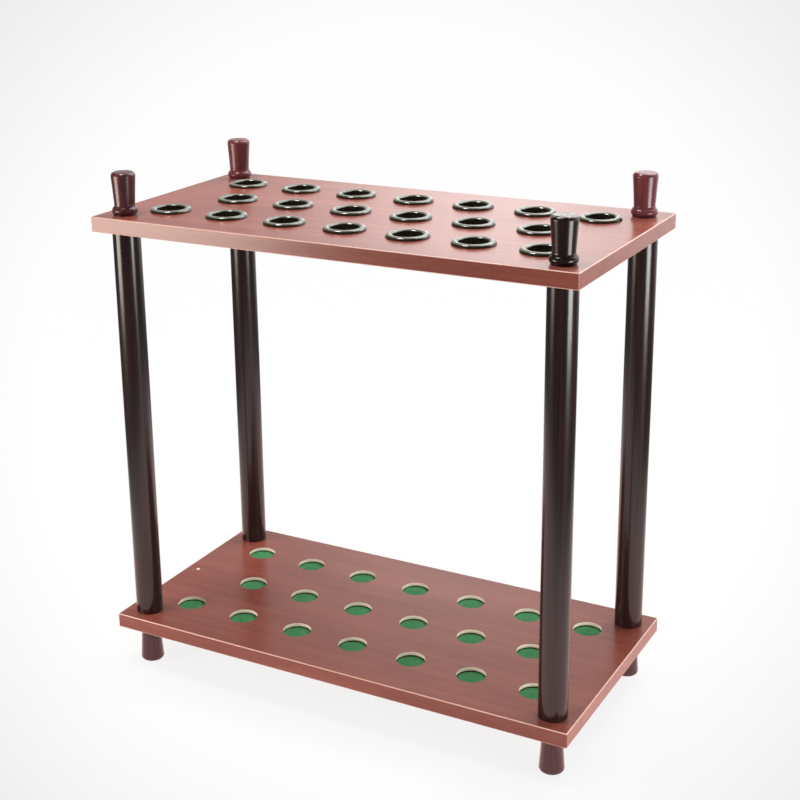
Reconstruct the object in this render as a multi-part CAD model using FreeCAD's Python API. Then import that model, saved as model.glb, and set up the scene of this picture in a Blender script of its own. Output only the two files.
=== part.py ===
"""Floor stand for billiard cues: two boards held apart by four turned posts.

The top board guides the cues through ring grommets and the base board takes
their butts in felt-lined recesses.  A finial above and a foot below each post
screw into its ends and clamp the boards.

Millimetres.  The origin is on the floor under the centre of the stand, +X runs
along its length, +Y to its back and +Z up.
"""

import FreeCAD
import Part

import os
from math import pi

Vector = FreeCAD.Vector
UP = Vector(0, 0, 1)

# ---- boards ----
board_length = 602.0
board_depth = 300.0
board_thickness = 18.0
board_corner_radius = 1.5  # upright corners
board_edge_round = 1.2  # top and bottom arrises

# ---- posts ----
post_diameter = 33.0
post_length = 492.0
post_end_inset = 28.0  # axis to the board's end
post_side_inset = 29.0  # axis to the board's long edge
post_end_chamfer = 0.6

# ---- cue places: an odd row in front and behind, the short row staggered between ----
outer_row_count = 7
end_margin = 66.0  # first cue axis to the board's end
side_margin = 67.0  # outer row to the board's long edge

# ---- grommets in the top board ----
cue_bore_diameter = 33.0
grommet_wall = 2.8  # barrel wall
flange_overhang = 5.2  # how far the ring reaches past the barrel
flange_height = 4.0  # crest above the board
flange_rim_height = 1.0  # upright outer rim under the dome
barrel_short = 2.0  # barrel ends this far above the board's underside
grommet_clearance = 0.15  # barrel to its hole, on the radius

# ---- recesses in the base board ----
recess_diameter = 35.0
recess_depth = 7.0
felt_thickness = 2.0
felt_clearance = 0.2  # disc to the recess wall, on the radius

# ---- turned ends: the same turning is a finial above and a foot below ----
turned_height = 50.0
turned_top_radius = 14.4
turned_edge_round = 4.4
turned_neck_radius = 12.2
turned_neck_height = 12.2
turned_mid_sag = 0.12  # hollow of the tapered flank
bead_radius = 15.2
bead_height = 7.6
bead_root_radius = 13.4
foot_ring_height = 1.2  # plain ring between the bead and the board

# ---- screws ----
stud_diameter = 8.0
thread_pitch = 1.25
stud_in_turned = 25.0  # length held in the finial or foot
stud_in_post = 20.0  # length screwed into the post's insert
stud_tip_chamfer = 1.0
thread_clearance = 0.05  # stud to threaded bore, on the radius
stud_hole_clearance = 0.5  # stud to the hole through a board, on the radius
stud_hole_spare = 1.0  # hole beyond the stud's end

insert_diameter = 12.0
insert_length = 20.0
insert_fit = 0.05  # insert to the post's bore, on the radius

# ---- heights worked out from the sizes above ----
base_bottom = turned_height
base_top = base_bottom + board_thickness
board_top_bottom = base_top + post_length
top_top = board_top_bottom + board_thickness
stud_radius = stud_diameter / 2
stud_length = stud_in_turned + board_thickness + stud_in_post
bore_radius = cue_bore_diameter / 2
barrel_radius = bore_radius + grommet_wall
flange_radius = barrel_radius + flange_overhang

CORNERS = {"fl": (-1, -1), "fr": (1, -1), "bl": (-1, 1), "br": (1, 1)}


def corner_axis(corner):
    """X and Y of the post axis at one corner."""
    side_x, side_y = CORNERS[corner]
    x = side_x * (board_length / 2 - post_end_inset)
    y = side_y * (board_depth / 2 - post_side_inset)
    return x, y


def cue_axes():
    """X and Y of every cue's axis: front row, staggered middle row, back row."""
    half_run = board_length / 2 - end_margin
    row_y = board_depth / 2 - side_margin
    pitch = 2 * half_run / (outer_row_count - 1)
    outer = outer_row_count, 0.0
    middle = outer_row_count - 1, pitch / 2
    rows = [(-row_y, *outer), (0.0, *middle), (row_y, *outer)]
    places = []
    for y, count, shift in rows:
        for i in range(count):
            places.append((-half_run + shift + i * pitch, y))
    return places


def cylinder(x, y, z_low, z_high, radius):
    """Upright cylinder between two heights."""
    return Part.makeCylinder(radius, z_high - z_low, Vector(x, y, z_low), UP)


def lathe(edges):
    """Solid turned about Z from a closed outline in the XZ plane."""
    face = Part.Face(Part.Wire(edges))
    return face.revolve(Vector(0, 0, 0), UP, 360)


def line(start, end):
    """Straight outline edge between two (radius, height) points."""
    return Part.makeLine(Vector(start[0], 0, start[1]), Vector(end[0], 0, end[1]))


def arc(start, middle, end):
    """Outline arc through three (radius, height) points."""
    points = [Vector(r, 0, z) for r, z in (start, middle, end)]
    return Part.Arc(*points).toShape()


def placed(shape, x, y, z):
    """A copy of the shape moved to x, y, z."""
    copy = shape.copy()
    copy.translate(Vector(x, y, z))
    return copy


def plain_board(z_low):
    """Board with rounded corners and arrises and the four clearance holes for the studs."""
    low = Vector(-board_length / 2, -board_depth / 2, z_low)
    board = Part.makeBox(board_length, board_depth, board_thickness, low)
    upright = [e for e in board.Edges if abs(e.tangentAt(e.FirstParameter).z) > 0.5]
    board = board.makeFillet(board_corner_radius, upright)
    arrises = []
    for face in board.Faces:
        if face.Surface.TypeId == "Part::GeomPlane" and abs(face.normalAt(0, 0).z) > 0.5:
            arrises += face.OuterWire.Edges
    board = board.makeFillet(board_edge_round, arrises)
    hole_radius = stud_radius + stud_hole_clearance
    holes = []
    for corner in CORNERS:
        x, y = corner_axis(corner)
        holes.append(cylinder(x, y, z_low - 1, z_low + board_thickness + 1, hole_radius))
    return board.cut(holes)


def base_board():
    """Lower board with a flat-bottomed recess under every cue."""
    board = plain_board(base_bottom)
    floor = base_top - recess_depth
    recesses = [cylinder(x, y, floor, base_top + 1, recess_diameter / 2) for x, y in cue_axes()]
    return board.cut(recesses)


def top_board():
    """Upper board with a through hole for every grommet."""
    board = plain_board(board_top_bottom)
    radius = barrel_radius + grommet_clearance
    holes = [cylinder(x, y, board_top_bottom - 1, top_top + 1, radius) for x, y in cue_axes()]
    return board.cut(holes)


def post_blank():
    """Turned post standing on z = 0, bored at both ends for its inserts."""
    radius = post_diameter / 2
    blank = cylinder(0, 0, 0, post_length, radius)
    rims = [e for e in blank.Edges if e.Curve.TypeId == "Part::GeomCircle"]
    blank = blank.makeChamfer(post_end_chamfer, rims)
    bore = insert_diameter / 2 + insert_fit
    depth = max(insert_length, stud_in_post) + stud_hole_spare
    low_bore = cylinder(0, 0, -1, depth, bore)
    high_bore = cylinder(0, 0, post_length - depth, post_length + 1, bore)
    return blank.cut([low_bore, high_bore])


def insert_blank():
    """Threaded sleeve standing on z = 0."""
    sleeve = cylinder(0, 0, 0, insert_length, insert_diameter / 2)
    return sleeve.cut(cylinder(0, 0, -1, insert_length + 1, stud_radius + thread_clearance))


def stud_blank():
    """Plain-shanked stud standing on z = 0, chamfered at both tips."""
    stud = cylinder(0, 0, 0, stud_length, stud_radius)
    rims = [e for e in stud.Edges if e.Curve.TypeId == "Part::GeomCircle"]
    return stud.makeChamfer(stud_tip_chamfer, rims)


def turned_end():
    """Turned knob seated on z = 0: ring, bead, cove, flared flank and rounded crown."""
    ring_top = (bead_root_radius, foot_ring_height)
    bead_mid = (bead_radius, foot_ring_height + bead_height / 2)
    bead_end = (bead_root_radius, foot_ring_height + bead_height)
    cove_drop = turned_neck_height - bead_end[1]
    cove_step = bead_root_radius - turned_neck_radius
    # the cove leaves the bead square to it and meets the flank upright
    cove_mid = (turned_neck_radius + 0.29 * cove_step, bead_end[1] + 0.45 * cove_drop)
    neck = (turned_neck_radius, turned_neck_height)
    shoulder = (turned_top_radius, turned_height - turned_edge_round)
    flank_mid = ((neck[0] + shoulder[0]) / 2 - turned_mid_sag, (neck[1] + shoulder[1]) / 2)
    crown_out = (turned_top_radius - turned_edge_round, turned_height)
    diagonal = turned_edge_round * 0.5**0.5
    crown_mid = (crown_out[0] + diagonal, shoulder[1] + diagonal)
    outline = [
        line((0, 0), (bead_root_radius, 0)),
        line((bead_root_radius, 0), ring_top),
        arc(ring_top, bead_mid, bead_end),
        arc(bead_end, cove_mid, neck),
        arc(neck, flank_mid, shoulder),
        arc(shoulder, crown_mid, crown_out),
        line(crown_out, (0, turned_height)),
        line((0, turned_height), (0, 0)),
    ]
    knob = lathe(outline)
    hole_top = stud_in_turned + stud_hole_spare
    return knob.cut(cylinder(0, 0, -1, hole_top, stud_radius + thread_clearance))


def grommet_blank():
    """Ring grommet about z = 0, the level of the board's upper face."""
    barrel_bottom = barrel_short - board_thickness
    crest = (bore_radius + flange_radius) / 2, flange_height
    inner_top = (bore_radius, flange_height * 0.55)
    rim_top = (flange_radius, flange_rim_height)
    outline = [
        line((bore_radius, barrel_bottom), (barrel_radius, barrel_bottom)),
        line((barrel_radius, barrel_bottom), (barrel_radius, 0)),
        line((barrel_radius, 0), (flange_radius, 0)),
        line((flange_radius, 0), rim_top),
        arc(rim_top, crest, inner_top),
        line(inner_top, (bore_radius, barrel_bottom)),
    ]
    return lathe(outline)


def felt_blank():
    """Felt disc standing on z = 0."""
    return cylinder(0, 0, 0, felt_thickness, recess_diameter / 2 - felt_clearance)


def upside_down(shape):
    """The shape turned half round about X, so that its seat faces up at z = 0."""
    copy = shape.copy()
    copy.rotate(Vector(0, 0, 0), Vector(1, 0, 0), 180)
    return copy


def build():
    """Every sub-part by node name, in place."""
    nodes = {"base_board": base_board(), "top_board": top_board()}
    post, knob, stud, sleeve = post_blank(), turned_end(), stud_blank(), insert_blank()
    hanging_knob = upside_down(knob)
    foot_studs, sleeves = [], []
    for corner in CORNERS:
        x, y = corner_axis(corner)
        nodes["post_" + corner] = placed(post, x, y, base_top)
        nodes["finial_" + corner] = placed(knob, x, y, top_top)
        nodes["foot_" + corner] = placed(hanging_knob, x, y, base_bottom)
        stud_low = board_top_bottom - stud_in_post
        nodes["finial_stud_" + corner] = placed(stud, x, y, stud_low)
        foot_studs.append(placed(stud, x, y, base_bottom - stud_in_turned))
        sleeves.append(placed(sleeve, x, y, base_top))
        sleeves.append(placed(sleeve, x, y, board_top_bottom - insert_length))
    nodes["foot_studs"] = Part.makeCompound(foot_studs)
    nodes["post_inserts"] = Part.makeCompound(sleeves)
    grommet, felt = grommet_blank(), felt_blank()
    for number, (x, y) in enumerate(cue_axes(), start=1):
        nodes["grommet_%02d" % number] = placed(grommet, x, y, top_top)
        nodes["felt_pad_%02d" % number] = placed(felt, x, y, base_top - recess_depth)
    return nodes


os.makedirs("parts", exist_ok=True)
for name, shape in build().items():
    if not shape.isValid():
        raise ValueError(name + " is not a valid shape")
    shape.exportStep("parts/" + name + ".step")
print("lift per turn %.2f mm, %.3f mm per radian" % (thread_pitch, thread_pitch / (2 * pi)))
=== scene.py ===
"""Looks of the billiard cue rack: materials, felt pads, threaded studs, floor, lamps and camera."""

from math import pi, radians

import bpy
from mathutils import Euler, Matrix, Vector


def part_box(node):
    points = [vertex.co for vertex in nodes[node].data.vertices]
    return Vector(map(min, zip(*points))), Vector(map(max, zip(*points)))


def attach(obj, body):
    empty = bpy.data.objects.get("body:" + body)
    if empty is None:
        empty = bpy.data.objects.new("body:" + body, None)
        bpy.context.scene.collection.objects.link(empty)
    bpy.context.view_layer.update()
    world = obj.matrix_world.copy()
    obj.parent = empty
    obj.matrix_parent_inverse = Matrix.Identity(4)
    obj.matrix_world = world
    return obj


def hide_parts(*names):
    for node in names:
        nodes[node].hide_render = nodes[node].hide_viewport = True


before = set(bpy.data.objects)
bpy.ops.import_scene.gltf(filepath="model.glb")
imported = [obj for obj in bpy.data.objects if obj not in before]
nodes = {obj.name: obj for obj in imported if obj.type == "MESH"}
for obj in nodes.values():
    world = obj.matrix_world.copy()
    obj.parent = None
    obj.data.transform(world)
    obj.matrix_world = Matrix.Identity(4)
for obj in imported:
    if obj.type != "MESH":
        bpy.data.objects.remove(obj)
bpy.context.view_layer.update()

scene = bpy.context.scene

MM = 0.001
CORNERS = ("fl", "fr", "bl", "br")
THREAD_PITCH = 1.25 * MM
FELT_TURN = 2.4  # radians from one felt pad to the next, so that no two lie alike
ROOM_LIGHT = 0.3  # even light of the world on the rack
CAMERA_PLACE = (0.81656, -1.50087, 0.95472)
CAMERA_AZIMUTH = radians(29.78)
CAMERA_ELEVATION = radians(17.13)
CAMERA_ROLL = radians(-1.075)

board_low, board_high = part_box("base_board")
base_top = board_high.z
felt_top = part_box("felt_pad_01")[1].z
rim_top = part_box("grommet_01")[1].z
handle_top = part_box("finial_fr")[1].z


# ---- small tools ----

def linear(hex_colour):
    """Linear RGBA of an sRGB colour written as six hex digits."""
    channels = [int(hex_colour[i:i + 2], 16) / 255 for i in (0, 2, 4)]
    return [c / 12.92 if c <= 0.04045 else ((c + 0.055) / 1.055) ** 2.4 for c in channels] + [1.0]


def add(tree, kind, settings=None, **links):
    """Adds a node, sets its properties and inputs, and links sockets given as keywords.

    A setting is a property of the node if it has one of that name, and an input otherwise. A keyword is an
    input's name with underscores for spaces, or inN for the input's number, and its value is an output socket.
    """
    node = tree.nodes.new(kind)
    for name, value in (settings or {}).items():
        if isinstance(name, str) and hasattr(node, name):
            setattr(node, name, value)
        else:
            node.inputs[name].default_value = value
    for name, socket in links.items():
        key = int(name[2:]) if name[:2] == "in" and name[2:].isdigit() else name.replace("_", " ")
        tree.links.new(socket, node.inputs[key])
    return node


def feed(tree, node, name, value):
    """Gives an input a number, or links it to a socket."""
    if isinstance(value, (int, float)):
        node.inputs[name].default_value = value
    else:
        tree.links.new(value, node.inputs[name])


def new_material(name):
    """An empty node material and its tree."""
    material = bpy.data.materials.new(name)
    material.use_nodes = True
    material.node_tree.nodes.clear()
    return material, material.node_tree


def finish_material(tree, shader):
    """Links a shader node to the material's output."""
    add(tree, "ShaderNodeOutputMaterial", Surface=shader.outputs[0])


def surface(tree, colour, roughness, normal, settings=None):
    """Finishes a material with one Principled surface."""
    shader = add(tree, "ShaderNodeBsdfPrincipled", settings, Base_Color=colour, Normal=normal)
    feed(tree, shader, "Roughness", roughness)
    finish_material(tree, shader)


def object_place(tree):
    """Object coordinates, which are the rack's own coordinates at rest."""
    return add(tree, "ShaderNodeTexCoord").outputs["Object"]


def split(tree, vector):
    """X, Y and Z of a vector socket."""
    return add(tree, "ShaderNodeSeparateXYZ", Vector=vector).outputs


def ramp(tree, factor, *stops):
    """Colour ramp on a factor socket, with (place, hex colour) stops."""
    node = add(tree, "ShaderNodeValToRGB", Fac=factor)
    elements = node.color_ramp.elements
    for i, (place, colour) in enumerate(stops):
        element = elements[i] if i < 2 else elements.new(place)
        element.position = place
        element.color = linear(colour)
    return node.outputs["Color"]


def noise(tree, place, size, detail):
    """Even noise with lumps of about that size in metres."""
    settings = {"Scale": 1 / size, "Detail": detail}
    return add(tree, "ShaderNodeTexNoise", settings, Vector=place).outputs["Fac"]


def drawn_noise(tree, sizes, detail, roughness=0.5, shift=(0, 0, 0)):
    """Noise drawn out into streaks of those sizes in metres along X, Y and Z."""
    settings = {"Scale": [1 / size for size in sizes], "Location": shift}
    mapped = add(tree, "ShaderNodeMapping", settings, Vector=object_place(tree)).outputs[0]
    settings = {"Scale": 1.0, "Detail": detail, "Roughness": roughness}
    return add(tree, "ShaderNodeTexNoise", settings, Vector=mapped).outputs["Fac"]


def fade(tree, value, start, end, at_start=0.0, at_end=1.0, soft=False):
    """Goes from at_start to at_end while the value goes from start to end, and holds beyond both."""
    settings = {"From Min": start, "From Max": end, "To Min": at_start, "To Max": at_end}
    if soft:
        settings["interpolation_type"] = "SMOOTHSTEP"
    return add(tree, "ShaderNodeMapRange", settings, Value=value).outputs[0]


def relief(tree, height, strength, depth):
    """Normal of a surface with fine relief of that depth in metres."""
    settings = {"Strength": strength, "Distance": depth}
    return add(tree, "ShaderNodeBump", settings, Height=height).outputs[0]


def math(tree, operation, *values):
    """Math node on sockets or numbers."""
    node = add(tree, "ShaderNodeMath", {"operation": operation})
    for i, value in enumerate(values):
        feed(tree, node, i, value)
    return node.outputs[0]


def mix(tree, factor, first, second, blend="MIX"):
    """Mix of two colours, given as sockets or hex."""
    node = add(tree, "ShaderNodeMix", {"data_type": "RGBA", "blend_type": blend})
    feed(tree, node, 0, factor)
    for name, colour in ((6, first), (7, second)):
        if isinstance(colour, str):
            node.inputs[name].default_value = linear(colour)
        else:
            tree.links.new(colour, node.inputs[name])
    return node.outputs[2]


# ---- materials ----

def mahogany_foil():
    """Mahogany-print foil on MDF, satin sealed: red-brown with fine darker pores along the board.

    The round-over is painted paler as worn veneer and a painted highlight; the recess walls show the raw
    board, with painted shade at the foot.
    """
    material, tree = new_material("mahogany foil on MDF")
    place = object_place(tree)
    parts = split(tree, place)
    # pores are really 0.3 mm wide, drawn 1.1 mm wide so that they show
    pores = drawn_noise(tree, (14 * MM, 1.1 * MM, 1.1 * MM), detail=3.0, roughness=0.6)
    bands = drawn_noise(tree, (260 * MM, 9 * MM, 9 * MM), detail=2.0, shift=(3.0, 1.0, 0.0))
    clouds = drawn_noise(tree, (180 * MM, 60 * MM, 60 * MM), detail=1.0, shift=(7.0, 4.0, 2.0))
    wood = ramp(tree, bands, (0.3, "904C40"), (0.7, "9B574A"))
    pore_tint = ramp(tree, pores, (0.3, "C8B0A8"), (0.55, "FFFFFF"))
    wood = mix(tree, 0.35, wood, pore_tint, "MULTIPLY")
    cloud_tint = ramp(tree, clouds, (0.3, "D8CBC6"), (0.7, "FFFFFF"))
    wood = mix(tree, 0.6, wood, cloud_tint, "MULTIPLY")

    # tilt is 1 on flat faces and 0 on upright ones; the round-over lies between
    normal = add(tree, "ShaderNodeNewGeometry").outputs["Normal"]
    tilt = math(tree, "ABSOLUTE", split(tree, normal)["Z"])
    off_upright = math(tree, "GREATER_THAN", tilt, 0.15)
    off_flat = math(tree, "LESS_THAN", tilt, 0.985)
    arris = math(tree, "MULTIPLY", off_upright, off_flat)
    # painted highlight: the round-over is painted paler, partly as worn veneer and partly as a painted
    # highlight along the edge
    wood = mix(tree, math(tree, "MULTIPLY", arris, 0.8), wood, "F0C4B4")

    # a chip a few millimetres across, beside the left end of the lower board, shows the raw board
    chip_place = (board_low.x + 16 * MM, 2 * MM, base_top)
    from_chip = add(tree, "ShaderNodeVectorMath", {"operation": "DISTANCE", 1: chip_place}, in0=place)
    chip = math(tree, "LESS_THAN", from_chip.outputs["Value"], 2.4 * MM)
    wood = mix(tree, chip, wood, "FBE9DC")

    # the drilled walls are the upright faces that lie inside the board's outline
    upright = math(tree, "LESS_THAN", tilt, 0.5)
    reach = board_high - Vector((3 * MM, 3 * MM, 0))
    in_length = math(tree, "LESS_THAN", math(tree, "ABSOLUTE", parts["X"]), reach.x)
    in_depth = math(tree, "LESS_THAN", math(tree, "ABSOLUTE", parts["Y"]), reach.y)
    inside = math(tree, "MULTIPLY", in_length, in_depth)
    raw = math(tree, "MULTIPLY", upright, inside)
    board_core = ramp(tree, noise(tree, place, 0.8 * MM, 2.0), (0.3, "F8DFC8"), (0.7, "FFF0E2"))
    # painted shade: the foot of the wall, beside the felt, is darkened to stand in for the shadow in the gap
    # round the felt
    above_felt = math(tree, "SUBTRACT", parts["Z"], felt_top)
    painted_contact_shade = fade(tree, above_felt, 0.4 * MM, 1.3 * MM, 1.0, 0.0)
    board_core = mix(tree, painted_contact_shade, board_core, "2B3324")
    colour = mix(tree, raw, wood, board_core)

    height = math(tree, "ADD", math(tree, "MULTIPLY", pores, 0.2), noise(tree, place, 6 * MM, 1.0))
    roughness = math(tree, "MULTIPLY_ADD", pores, 0.05, 0.22)
    surface(tree, colour, roughness, relief(tree, height, 0.12, 0.1 * MM), {"IOR": 1.5})
    return material


def lacquered_hardwood(name, dark, middle, light, roughness=0.2, painted_top_reflection=False):
    """Turned hardwood under dark red-brown gloss lacquer; the grain runs up the piece.

    A piece with a painted top reflection has pale patches painted on its very top, standing in for the
    backdrop mirrored there.
    """
    material, tree = new_material(name)
    place = object_place(tree)
    figure = drawn_noise(tree, (3 * MM, 3 * MM, 140 * MM), detail=3.0)
    colour = ramp(tree, figure, (0.3, dark), (0.55, middle), (0.75, light))
    if painted_top_reflection:
        # painted reflection: pale patches on the very top stand in for the backdrop mirrored in the lacquer
        below_top = math(tree, "SUBTRACT", handle_top, split(tree, place)["Z"])
        near_top = fade(tree, below_top, 0.2 * MM, 2.0 * MM, 0.7, 0.0)
        patches = fade(tree, noise(tree, place, 5 * MM, 2.0), 0.45, 0.6)
        colour = mix(tree, math(tree, "MULTIPLY", near_top, patches), colour, "B9A59A")
    height = math(tree, "MULTIPLY_ADD", figure, 0.5, noise(tree, place, 5 * MM, 1.0))
    surface(tree, colour, roughness, relief(tree, height, 0.1, 0.1 * MM), {"IOR": 1.5})
    return material


def moulded_rubber():
    """Black moulded rubber, faintly mottled; the top of each rim is painted grey as a painted highlight."""
    material, tree = new_material("black moulded rubber")
    place = object_place(tree)
    mottle = noise(tree, place, 4 * MM, 2.0)
    colour = ramp(tree, mottle, (0.3, "262119"), (0.7, "352E25"))
    # painted highlight: the top of each rim is painted grey, standing in for the bright backdrop mirrored in
    # the glossy rubber
    below_crown = math(tree, "SUBTRACT", rim_top, split(tree, place)["Z"])
    crown = fade(tree, below_crown, 0.4 * MM, 1.6 * MM, 1.0, 0.0)
    colour = mix(tree, crown, colour, "7C7D70")
    roughness = math(tree, "MULTIPLY_ADD", mottle, 0.1, 0.1)
    surface(tree, colour, roughness, relief(tree, mottle, 0.1, 0.1 * MM), {"IOR": 1.55})
    return material


def baize_felt():
    """Green wool baize: matted fibres that catch a soft sheen."""
    material, tree = new_material("green wool felt")
    # fibres are about 0.03 mm thick, drawn 0.5 mm so that the matting shows
    fibres = drawn_noise(tree, (0.5 * MM, 0.5 * MM, 0.5 * MM), detail=4.0, roughness=0.7)
    colour = ramp(tree, fibres, (0.3, "2F7545"), (0.7, "4FA068"))
    tufts = noise(tree, object_place(tree), 4 * MM, 1.0)
    colour = mix(tree, 1.0, colour, ramp(tree, tufts, (0.3, "DDE6DD"), (0.7, "FFFFFF")), "MULTIPLY")
    sheen = {"Sheen Weight": 0.35, "Sheen Roughness": 0.4, "Sheen Tint": linear("8FD0A0")}
    surface(tree, colour, 0.95, relief(tree, fibres, 0.5, 0.3 * MM), sheen)
    return material


def turned_metal(name, light, dark, roughness):
    """Machined metal with fine turning marks round its length and slight tarnish."""
    material, tree = new_material(name)
    tarnish = noise(tree, object_place(tree), 5 * MM, 3.0)
    colour = ramp(tree, tarnish, (0.35, dark), (0.65, light))
    # the marks run round the piece: a metre wide in the noise, 0.4 mm apart up the axis
    marks = drawn_noise(tree, (1.0, 1.0, 0.4 * MM), detail=1.0)
    roughness = math(tree, "MULTIPLY_ADD", tarnish, 0.15, roughness)
    surface(tree, colour, roughness, relief(tree, marks, 0.15, 0.05 * MM), {"Metallic": 1.0})
    return material


# ---- pieces ----

def only(obj):
    """Makes obj the one selected and active object."""
    bpy.ops.object.select_all(action="DESELECT")
    obj.select_set(True)
    bpy.context.view_layer.objects.active = obj


def settle(obj, material):
    """Puts the object's place into its mesh, turns its faces outwards and gives it its material."""
    only(obj)
    bpy.ops.object.transform_apply(location=True, rotation=True, scale=True)
    bpy.ops.object.mode_set(mode="EDIT")
    bpy.ops.mesh.select_all(action="SELECT")
    bpy.ops.mesh.remove_doubles(threshold=0.002 * MM)
    bpy.ops.mesh.normals_make_consistent(inside=False)
    bpy.ops.object.mode_set(mode="OBJECT")
    paint(obj, material)


def paint(obj, material):
    """Gives a piece its one material."""
    obj.data.materials.clear()
    obj.data.materials.append(material)


def copy_at(model, name, shift):
    """A copy of a settled piece with its own mesh, moved by shift in its mesh."""
    copy = bpy.data.objects.new(name, model.data.copy())
    copy.data.transform(Matrix.Translation(shift))
    scene.collection.objects.link(copy)
    return copy


def foot_of(name):
    """Middle of the underside of a CAD piece, its radius and its height."""
    low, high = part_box(name)
    centre = (low + high) / 2
    return Vector((centre.x, centre.y, low.z)), (high.x - low.x) / 2, high.z - low.z


def felt_pad_model(radius, thickness, material):
    """Punched felt disc about the origin, lying on z = 0: soft rolled rim and a slightly uneven face."""
    bpy.ops.object.select_all(action="DESELECT")
    bpy.ops.mesh.primitive_circle_add(vertices=48, radius=radius * 0.985, fill_type="NGON")
    pad = bpy.context.object
    bpy.ops.object.mode_set(mode="EDIT")
    bpy.ops.mesh.select_all(action="SELECT")
    bpy.ops.mesh.extrude_region_move(TRANSFORM_OT_translate={"value": (0, 0, thickness * 0.96)})
    # rings on the upper face give the lumps something to move
    for share in (0.09, 0.16, 0.2, 0.25):
        bpy.ops.mesh.inset(thickness=radius * share)
    bpy.ops.object.mode_set(mode="OBJECT")
    bevel = pad.modifiers.new("rolled rim", "BEVEL")
    bevel.width = thickness * 0.3
    bevel.segments = 3
    bevel.limit_method = "ANGLE"
    bevel.angle_limit = radians(50)
    only(pad)
    bpy.ops.object.modifier_apply(modifier=bevel.name)
    texture = bpy.data.textures.new("felt lumps", "CLOUDS")
    texture.noise_scale = 7 * MM
    lumps = pad.modifiers.new("lumps", "DISPLACE")
    lumps.texture = texture
    lumps.texture_coords = "LOCAL"
    lumps.direction = "Z"
    lumps.strength = thickness * 0.12
    lumps.mid_level = 1.0
    bpy.ops.object.modifier_apply(modifier=lumps.name)
    settle(pad, material)
    bpy.ops.object.shade_smooth_by_angle(angle=radians(40))
    return pad


def thread_stud_model(radius, length, pitch, material):
    """Threaded stud standing on the origin: one pitch of the flank, wound up the axis and cut at both ends."""
    # proportions of a metric thread
    root = radius - 0.61 * pitch
    half_crest = pitch / 16
    half_root = pitch / 8
    outline = [(root, -pitch / 2), (root, -pitch / 2 + half_root), (radius, -half_crest),
               (radius, half_crest), (root, pitch / 2 - half_root), (root, pitch / 2)]
    bpy.ops.object.select_all(action="DESELECT")
    bpy.ops.mesh.primitive_plane_add(size=pitch)
    stud = bpy.context.object
    only(stud)
    bpy.ops.object.mode_set(mode="EDIT")
    bpy.ops.mesh.select_all(action="SELECT")
    bpy.ops.mesh.merge(type="CENTER")
    at = (0.0, pitch)
    for index, (out, up) in enumerate(outline):
        step = {"value": (out - at[0], 0, up - at[1])}
        if index == 0:
            bpy.ops.transform.translate(**step)
        else:
            bpy.ops.mesh.extrude_vertices_move(TRANSFORM_OT_translate=step)
        at = (out, up)
    bpy.ops.object.mode_set(mode="OBJECT")
    wind = stud.modifiers.new("thread", "SCREW")
    wind.axis = "Z"
    wind.screw_offset = pitch
    wind.iterations = int(length / pitch) + 3
    wind.steps = 20
    wind.render_steps = 20
    wind.use_merge_vertices = True
    wind.merge_threshold = 0.001 * MM
    bpy.ops.object.modifier_apply(modifier=wind.name)
    bpy.ops.object.mode_set(mode="EDIT")
    for height, up in ((0.0, -1.0), (length, 1.0)):
        bpy.ops.mesh.select_all(action="SELECT")
        bpy.ops.mesh.remove_doubles(threshold=0.002 * MM)
        bpy.ops.mesh.select_all(action="SELECT")
        bpy.ops.mesh.bisect(plane_co=(0, 0, height), plane_no=(0, 0, up), clear_outer=True, use_fill=True)
    bpy.ops.object.mode_set(mode="OBJECT")
    # the first thread at either end runs down to a blunt point
    for reach, share in ((1.0 * MM, 0.96), (0.65 * MM, 0.95), (0.3 * MM, 0.95)):
        bpy.ops.object.mode_set(mode="EDIT")
        bpy.ops.mesh.select_all(action="DESELECT")
        bpy.ops.mesh.select_mode(type="VERT")
        bpy.ops.object.mode_set(mode="OBJECT")
        for vertex in stud.data.vertices:
            from_end = min(vertex.co.z, length - vertex.co.z)
            vertex.select = from_end < reach and vertex.co.xy.length > root * 1.03
        bpy.ops.object.mode_set(mode="EDIT")
        bpy.ops.transform.resize(value=(share, share, 1), center_override=(0, 0, 0))
        bpy.ops.object.mode_set(mode="OBJECT")
    settle(stud, material)
    bpy.ops.object.shade_smooth_by_angle(angle=radians(30))
    return stud


def make_felt_pads(material):
    """A felt pad in every recess, in place of its plain CAD disc."""
    names = sorted(n for n in nodes if n.startswith("felt_pad_"))
    radius, thickness = foot_of(names[0])[1:]
    model = felt_pad_model(radius, thickness, material)
    for name in names:
        model.data.transform(Matrix.Rotation(FELT_TURN, 4, "Z"))
        pad = copy_at(model, "felt_" + name[-2:], foot_of(name)[0])
        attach(pad, "rack")
        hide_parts(name)
    bpy.data.objects.remove(model)


def make_studs(material):
    """Threaded studs in place of the plain CAD ones under the finials."""
    radius, length = foot_of("finial_stud_fl")[1:]
    # a hair slimmer than the CAD stud, so that the crests keep inside it
    model = thread_stud_model(radius - 0.02 * MM, length, THREAD_PITCH, material)
    for corner in CORNERS:
        name = "finial_stud_" + corner
        stud = copy_at(model, "threaded_stud_" + corner, foot_of(name)[0])
        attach(stud, "stud_" + corner)
        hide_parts(name)
    bpy.data.objects.remove(model)


def paint_nodes(finishes):
    """Gives every carried CAD node the first finish in the list whose start of a name it has."""
    for name, obj in nodes.items():
        for start, material in finishes:
            if name.startswith(start):
                paint(obj, material)
                break


# ---- floor, lamps, world and camera ----

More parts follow.
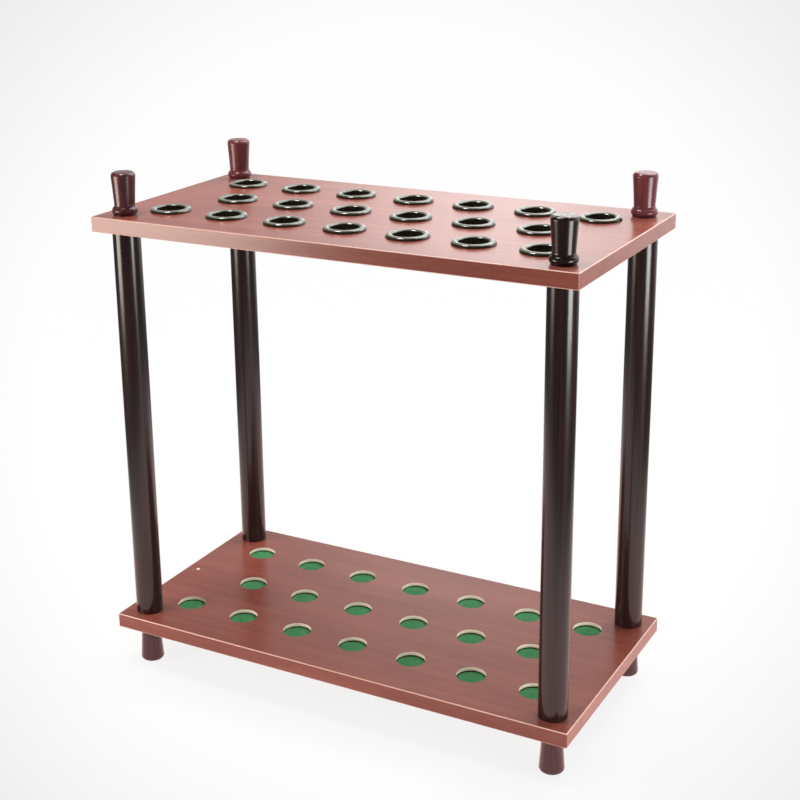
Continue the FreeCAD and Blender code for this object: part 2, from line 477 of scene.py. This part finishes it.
def make_floor():
    """Pale floor that melts into the white backdrop away from the rack and keeps the rack's soft shadow.

    In shiny surfaces it is bright under the rack, dim further off and bright again where the backdrop starts.
    """
    bpy.ops.object.select_all(action="DESELECT")
    bpy.ops.mesh.primitive_plane_add(size=40.0)
    floor = bpy.context.object
    floor.name = "floor"
    material, tree = new_material("pale studio floor")
    place = object_place(tree)
    distance = add(tree, "ShaderNodeVectorMath", {"operation": "LENGTH"}, in0=place).outputs["Value"]

    # seen by the camera: pale, and almost clear half a metre from the rack's middle
    matte = add(tree, "ShaderNodeBsdfDiffuse", {"Color": linear("F2F2F2")})
    clear = add(tree, "ShaderNodeBsdfTransparent")
    melt = fade(tree, distance, 0.25, 0.5, 0.84, 0.985, soft=True)
    seen = add(tree, "ShaderNodeMixShader", Fac=melt, in1=matte.outputs[0], in2=clear.outputs[0])

    # seen in shiny surfaces: a lit patch, a dim ring, and the sweep up to the backdrop
    patch = fade(tree, distance, 0.55, 1.15, 1.5, 0.12, soft=True)
    sweep = fade(tree, split(tree, place)["Y"], 1.0, 2.5, 0.0, 1.3)
    glow = math(tree, "MAXIMUM", patch, sweep)
    warm = mix(tree, fade(tree, distance, 0.5, 0.9), "FFDCD8", "FFFFFF")
    lit = add(tree, "ShaderNodeEmission", Color=warm, Strength=glow)

    # the light it throws back is that of a grey floor, so that upright faces keep their depth
    grey = add(tree, "ShaderNodeBsdfDiffuse", {"Color": linear("B4B4B4")})

    path = add(tree, "ShaderNodeLightPath").outputs
    mirrored = add(tree, "ShaderNodeMixShader", Fac=path["Is Glossy Ray"],
                   in1=grey.outputs[0], in2=lit.outputs[0])
    shader = add(tree, "ShaderNodeMixShader", Fac=path["Is Camera Ray"],
                 in1=mirrored.outputs[0], in2=seen.outputs[0])
    finish_material(tree, shader)
    floor.data.materials.append(material)


def softbox(name, place, aim, width, height, power, colour=(1.0, 1.0, 1.0)):
    """Rectangular lamp at a place, facing an aim point, hidden from the camera itself."""
    light = bpy.data.lights.new(name, "AREA")
    light.shape = "RECTANGLE"
    light.size = width
    light.size_y = height
    light.energy = power
    light.color = colour
    lamp = bpy.data.objects.new(name, light)
    lamp.location = place
    lamp.rotation_euler = (Vector(aim) - Vector(place)).to_track_quat("-Z", "Y").to_euler()
    lamp.visible_camera = False
    scene.collection.objects.link(lamp)


def make_world():
    """White backdrop that dims a little towards the picture's corners, an even dim room light on the rack, and
    in shiny surfaces a pale backdrop behind the rack with a dim room in front of it."""
    world = bpy.data.worlds.new("studio")
    scene.world = world
    world.use_nodes = True
    tree = world.node_tree
    tree.nodes.clear()
    ray = add(tree, "ShaderNodeTexCoord").outputs["Generated"]

    # seen by the camera: white in the middle of the backdrop, greyer towards the corners
    middle = view_direction(0.0324, -0.0394)
    cosine = add(tree, "ShaderNodeVectorMath", {"operation": "DOT_PRODUCT", 1: middle}, in0=ray)
    white = fade(tree, cosine.outputs["Value"], 0.937, 0.972, 0.86, 1.0)

    # seen in shiny surfaces: bright behind the rack, most of all in a band to its left, and dim overhead
    # and in front
    parts = split(tree, ray)
    behind = fade(tree, parts["Y"], 0.1, 0.75, 0.1, 1.0)
    rise = fade(tree, parts["X"], -0.56, -0.38, 0.5, 2.05, soft=True)
    fall = fade(tree, parts["X"], -0.37, -0.31, 1.0, 0.65)
    upward = fade(tree, parts["Z"], 0.42, 0.5, 1.1, 0.2, soft=True)
    across = math(tree, "MULTIPLY", rise, fall)
    mirrored = math(tree, "MULTIPLY", math(tree, "MULTIPLY", behind, across), upward)

    path = add(tree, "ShaderNodeLightPath").outputs
    shiny = math(tree, "MAXIMUM", path["Is Glossy Ray"], path["Is Transmission Ray"])
    level = add(tree, "ShaderNodeMix", {"data_type": "FLOAT", 2: ROOM_LIGHT}, in0=shiny, in3=mirrored)
    level = add(tree, "ShaderNodeMix", {"data_type": "FLOAT"}, in0=path["Is Camera Ray"],
                in2=level.outputs[0], in3=white)
    shader = add(tree, "ShaderNodeBackground", {"Strength": 1.0}, Color=level.outputs[0])
    add(tree, "ShaderNodeOutputWorld", Surface=shader.outputs[0])


def camera_turn():
    """Rotation of the camera: to the front right, a little above, rolled about a degree."""
    turn = Euler((pi / 2 - CAMERA_ELEVATION, 0, CAMERA_AZIMUTH)).to_matrix()
    return turn @ Matrix.Rotation(CAMERA_ROLL, 3, "Z")


def view_direction(right, up):
    """Direction from the camera through a point that far right of and above its axis, one unit away."""
    return (camera_turn() @ Vector((right, up, -1))).normalized()


def make_camera():
    """Three-quarter view from the front right, a little above."""
    data = bpy.data.cameras.new("camera")
    data.sensor_width = 36.0
    data.lens = 68.34
    data.shift_x = 0.0615
    data.shift_y = -0.0749
    camera = bpy.data.objects.new("camera", data)
    camera.matrix_world = Matrix.Translation(CAMERA_PLACE) @ camera_turn().to_4x4()
    scene.collection.objects.link(camera)
    scene.camera = camera


foil = mahogany_foil()
rubber = moulded_rubber()
felt = baize_felt()
zinc = turned_metal("zinc-plated steel", "C9C9C4", "9C9C96", 0.3)
brass = turned_metal("machined brass", "D8B567", "A67F3C", 0.25)

# the finials differ in colour: near black, dark cherry and mahogany
post_lacquer = lacquered_hardwood("near-black gloss lacquer on turned hardwood", "1B0F0E", "281817", "361D1C")
end_lacquer = lacquered_hardwood("red-brown gloss lacquer on turned hardwood", "33171A", "472024", "58282C")
dark_lacquer = lacquered_hardwood("black gloss lacquer on turned hardwood", "170C0C", "211212", "2C1818",
                                  roughness=0.22, painted_top_reflection=True)
cherry_lacquer = lacquered_hardwood("dark cherry gloss lacquer on turned hardwood", "3E1D21", "552A2E",
                                    "6A353A", roughness=0.24)
light_lacquer = lacquered_hardwood("mahogany gloss lacquer on turned hardwood", "5A2C30", "71383C", "85474B",
                                   roughness=0.24)

paint_nodes([("base_board", foil), ("top_board", foil),
             ("post_inserts", brass), ("foot_studs", zinc), ("finial_stud", zinc),
             ("post_", post_lacquer), ("foot_", end_lacquer),
             ("finial_fl", cherry_lacquer), ("finial_fr", dark_lacquer),
             ("finial_bl", light_lacquer), ("finial_br", light_lacquer),
             ("grommet_", rubber), ("felt_pad", felt)])
make_felt_pads(felt)
make_studs(zinc)

make_floor()
make_world()
softbox("back softbox", (0.4, 1.0, 1.9), (0, 0, 0.55), 1.5, 1.4, 33)
softbox("top softbox", (-0.5, -0.2, 2.1), (0, 0, 0.5), 0.5, 0.4, 19)
softbox("left softbox", (-1.08, -1.1, 0.42), (-0.15, 0, 0.45), 0.75, 0.58, 15, colour=(1.0, 0.9, 0.8))
softbox("right softbox", (1.72, -0.42, 0.3), (0.1, 0, 0.45), 0.8, 0.5, 19)
make_camera()
scene.view_settings.view_transform = "Standard"
